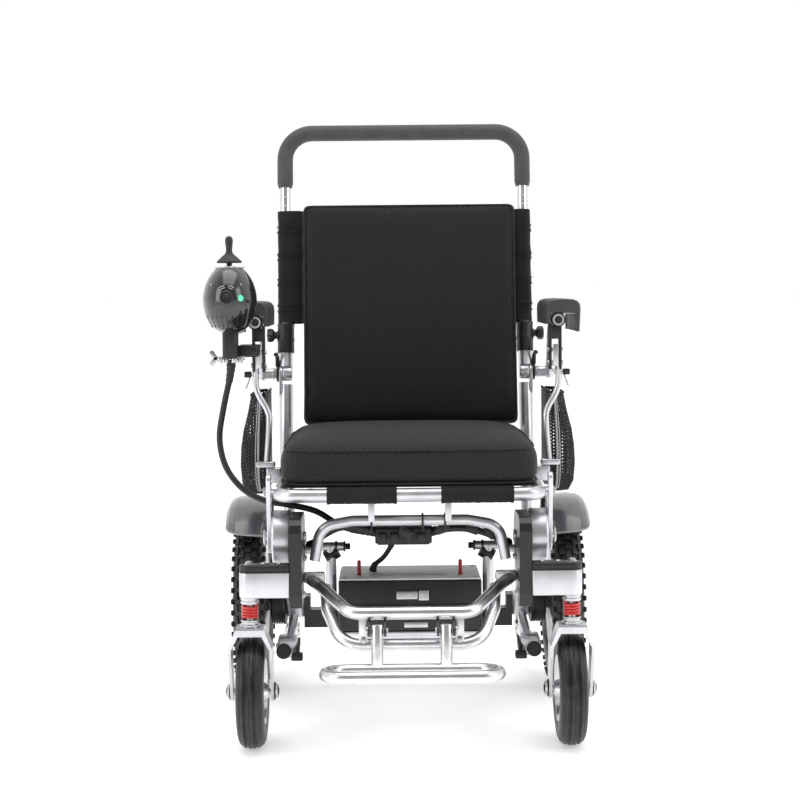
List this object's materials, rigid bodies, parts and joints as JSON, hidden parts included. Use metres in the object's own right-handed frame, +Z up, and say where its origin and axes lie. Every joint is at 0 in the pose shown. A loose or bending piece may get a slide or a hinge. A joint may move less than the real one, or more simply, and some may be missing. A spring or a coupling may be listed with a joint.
{
  "type": "power wheelchair",
  "caption": "Folding power wheelchair with a joystick pod on one arm, sprung front casters, mudguards, flip-up footplate and under-seat battery.",
  "frame": {"origin": "on the floor under the middle of the chair", "axes": "+Z up, the chair faces -Y, +X is the rider's left"},
  "size_m": [0.6504, 0.92, 1.0139],
  "materials": {
    "satin_silver": "satin anodised",
    "rim": "semi-gloss silver paint",
    "steel": "bright zinc",
    "satin_black": "satin black powder coat",
    "black_plastic": "fine grain",
    "battery_case": "satin, with a pale lid",
    "grey_plastic": "glossy moulded",
    "arm_pad": "satin moulded skin",
    "boot_rubber": "matte",
    "tyre": "matte rubber",
    "fabric": "woven spacer mesh",
    "mesh_fabric": "open net",
    "foam": "matte foam",
    "red_spring": "gloss red",
    "cable": "satin jacket"
  },
  "bodies": {
    "frame": {"side_plate_left": "satin_black", "side_plate_right": "satin_black", "fold_pin_left": "steel", "fold_pin_right": "steel", "caster_housing_left": "satin_silver", "caster_housing_right": "satin_silver", "caster_spring_left": "red_spring", "caster_spring_right": "red_spring", "seat_frame": "satin_silver", "seat_sling": "fabric", "seat_cushion": "fabric", "battery_cradle": "satin_silver", "controller_box": "black_plastic", "footrest_frame": "satin_silver", "joystick_cable": "cable", "battery_cable": "cable"},
    "caster_suspension_left": {"caster_stem_left": "steel"},
    "caster_suspension_right": {"caster_stem_right": "steel"},
    "caster_swivel_left": {"caster_fork_left": "satin_silver"},
    "caster_swivel_right": {"caster_fork_right": "satin_silver"},
    "caster_wheel_left": {"caster_tyre_left": "tyre", "caster_rim_left": "rim"},
    "caster_wheel_right": {"caster_tyre_right": "tyre", "caster_rim_right": "rim"},
    "rear_section": {"rear_leg_left": "satin_silver", "rear_leg_right": "satin_silver", "rear_cross_beam": "satin_black", "motor_left": "satin_black", "motor_right": "satin_black", "mudguard_left": "grey_plastic", "mudguard_right": "grey_plastic"},
    "rear_wheel_left": {"rear_tyre_left": "tyre", "rear_rim_left": "rim"},
    "rear_wheel_right": {"rear_tyre_right": "tyre", "rear_rim_right": "rim"},
    "anti_tip_left": {"anti_tip_wheel_left": "black_plastic"},
    "anti_tip_right": {"anti_tip_wheel_right": "black_plastic"},
    "freewheel_left": {"freewheel_lever_left": "black_plastic"},
    "freewheel_right": {"freewheel_lever_right": "black_plastic"},
    "battery_pack": {"battery": "battery_case"},
    "footplate_flap": {"footplate": "satin_silver"},
    "backrest": {"back_tube_left": "satin_silver", "back_tube_right": "satin_silver", "clamp_sleeve_left": "black_plastic", "clamp_sleeve_right": "black_plastic", "back_pad": "fabric"},
    "push_handle": {"push_bar": "satin_silver", "push_grip": "foam"},
    "knob_left": {"clamp_knob_left": "black_plastic"},
    "knob_right": {"clamp_knob_right": "black_plastic"},
    "arm_left": {"arm_frame_left": "satin_silver", "arm_pad_left": "arm_pad", "side_pocket_left": "mesh_fabric"},
    "arm_right": {"arm_frame_right": "satin_silver", "arm_pad_right": "arm_pad", "side_pocket_right": "mesh_fabric", "joystick_housing": "black_plastic"},
    "joystick_cross": {"joystick_gimbal": "steel"},
    "joystick": {"joystick_stick": "boot_rubber"},
    "button": {"power_button": "black_plastic"}
  },
  "joints": [
    {"name": "rear_fold", "type": "hinge", "parent": "frame", "child": "rear_section", "pos_m": [0, -0.215, 0.325], "axis": [-1, 0, 0], "range_deg": [0, 45]},
    {"name": "rear_wheel_left_roll", "type": "hinge", "parent": "rear_section", "child": "rear_wheel_left", "pos_m": [0.278, 0.18, 0.159], "axis": [1, 0, 0], "continuous": true},
    {"name": "rear_wheel_right_roll", "type": "hinge", "parent": "rear_section", "child": "rear_wheel_right", "pos_m": [-0.278, 0.18, 0.159], "axis": [1, 0, 0], "continuous": true},
    {"name": "anti_tip_left_roll", "type": "hinge", "parent": "rear_section", "child": "anti_tip_left", "pos_m": [0.221, 0.43, 0.06], "axis": [1, 0, 0], "continuous": true},
    {"name": "anti_tip_right_roll", "type": "hinge", "parent": "rear_section", "child": "anti_tip_right", "pos_m": [-0.221, 0.43, 0.06], "axis": [1, 0, 0], "continuous": true},
    {"name": "freewheel_left_press", "type": "hinge", "parent": "rear_section", "child": "freewheel_left", "pos_m": [0.195, 0.128, 0.09], "axis": [1, 0, 0], "range_deg": [0, 20]},
    {"name": "freewheel_right_press", "type": "hinge", "parent": "rear_section", "child": "freewheel_right", "pos_m": [-0.195, 0.128, 0.09], "axis": [1, 0, 0], "range_deg": [0, 20]},
    {"name": "caster_left_suspension", "type": "slide", "parent": "frame", "child": "caster_suspension_left", "axis": [0, 0, 1], "range_m": [0, 0.005], "stiffness_N_per_m": 30000, "springref_m": -0.006, "deforming": ["caster_spring_left"]},
    {"name": "caster_right_suspension", "type": "slide", "parent": "frame", "child": "caster_suspension_right", "axis": [0, 0, 1], "range_m": [0, 0.005], "stiffness_N_per_m": 30000, "springref_m": -0.006, "deforming": ["caster_spring_right"]},
    {"name": "caster_left_swivel", "type": "hinge", "parent": "caster_suspension_left", "child": "caster_swivel_left", "pos_m": [0.249, -0.29, 0.197], "axis": [0, 0, 1], "continuous": true},
    {"name": "caster_right_swivel", "type": "hinge", "parent": "caster_suspension_right", "child": "caster_swivel_right", "pos_m": [-0.249, -0.29, 0.197], "axis": [0, 0, 1], "continuous": true},
    {"name": "caster_left_roll", "type": "hinge", "parent": "caster_swivel_left", "child": "caster_wheel_left", "pos_m": [0.249, -0.258, 0.089], "axis": [1, 0, 0], "continuous": true},
    {"name": "caster_right_roll", "type": "hinge", "parent": "caster_swivel_right", "child": "caster_wheel_right", "pos_m": [-0.249, -0.258, 0.089], "axis": [1, 0, 0], "continuous": true},
    {"name": "battery_slide", "type": "slide", "parent": "frame", "child": "battery_pack", "axis": [0, 1, 0], "range_m": [0, 0.2]},
    {"name": "footplate_flip", "type": "hinge", "parent": "frame", "child": "footplate_flap", "pos_m": [0, -0.364, 0.203], "axis": [-1, 0, 0], "range_deg": [0, 95]},
    {"name": "backrest_fold", "type": "hinge", "parent": "frame", "child": "backrest", "pos_m": [0, 0.205, 0.564], "axis": [1, 0, 0], "range_deg": [0, 85]},
    {"name": "push_bar_slide", "type": "slide", "parent": "backrest", "child": "push_handle", "axis": [0, 0.1564, 0.9877], "range_m": [0, 0.06]},
    {"name": "knob_left_turn", "type": "hinge", "parent": "backrest", "child": "knob_left", "pos_m": [0.24, 0.21595, 0.63314], "axis": [1, 0, 0], "continuous": true},
    {"name": "knob_right_turn", "type": "hinge", "parent": "backrest", "child": "knob_right", "pos_m": [-0.24, 0.21595, 0.63314], "axis": [1, 0, 0], "continuous": true},
    {"name": "arm_left_flip", "type": "hinge", "parent": "frame", "child": "arm_left", "pos_m": [0.248, 0.205, 0.564], "axis": [-1, 0, 0], "range_deg": [0, 90]},
    {"name": "arm_right_flip", "type": "hinge", "parent": "frame", "child": "arm_right", "pos_m": [-0.248, 0.205, 0.564], "axis": [-1, 0, 0], "range_deg": [0, 90], "deforming": ["joystick_cable"]},
    {"name": "joystick_tilt_front", "type": "hinge", "parent": "arm_right", "child": "joystick_cross", "pos_m": [-0.287, -0.125, 0.7537], "axis": [1, 0, 0], "range_deg": [-20, 20], "stiffness_Nm_per_rad": 0.3},
    {"name": "joystick_tilt_side", "type": "hinge", "parent": "joystick_cross", "child": "joystick", "pos_m": [-0.287, -0.125, 0.7537], "axis": [0, 1, 0], "range_deg": [-20, 20], "stiffness_Nm_per_rad": 0.3},
    {"name": "power_button_press", "type": "slide", "parent": "arm_right", "child": "button", "axis": [0, 1, 0], "range_m": [0, 0.002], "stiffness_N_per_m": 400, "springref_m": -0.002}
  ]
}
